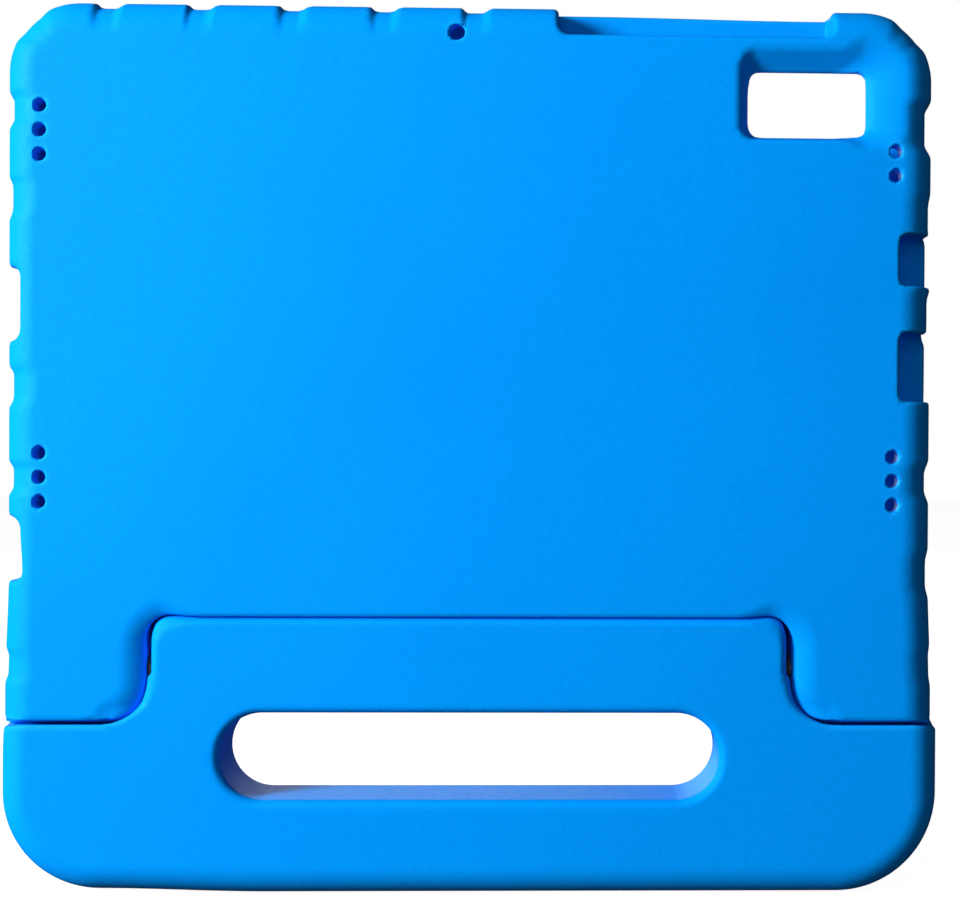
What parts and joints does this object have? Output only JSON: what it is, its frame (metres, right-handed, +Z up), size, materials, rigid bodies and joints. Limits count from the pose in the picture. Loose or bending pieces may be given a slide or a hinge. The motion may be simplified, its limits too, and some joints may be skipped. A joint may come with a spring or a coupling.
{
  "type": "tablet case",
  "caption": "Shockproof foam tablet case seen with its grip handle closed; the handle folds back on a hinge along the lower edge to stand the tablet up.",
  "frame": {"origin": "Under the middle of the handle's bottom edge, half way through the thickness, with the handle closed.", "axes": "+Z up, +X along the long side to the right as seen from the back of the case, +Y out of the screen side; the back of the case faces -Y."},
  "size_m": [0.278, 0.0246, 0.2627],
  "materials": {
    "foam": "matte",
    "socket_plastic": "satin",
    "pin_steel": "satin",
    "washer_rubber": "matte"
  },
  "bodies": {
    "shell": {"shell": "foam", "lug_socket_left": "socket_plastic", "lug_socket_right": "socket_plastic"},
    "handle": {"handle": "foam", "handle_socket_left": "socket_plastic", "handle_socket_right": "socket_plastic", "hinge_pin_left": "pin_steel", "hinge_pin_right": "pin_steel", "friction_washer_left": "washer_rubber", "friction_washer_right": "washer_rubber"}
  },
  "joints": [
    {"name": "handle_hinge", "type": "hinge", "parent": "shell", "child": "handle", "pos_m": [0, -0.0043, 0.0664], "axis": [-1, 0, 0], "range_deg": [0, 110]}
  ]
}
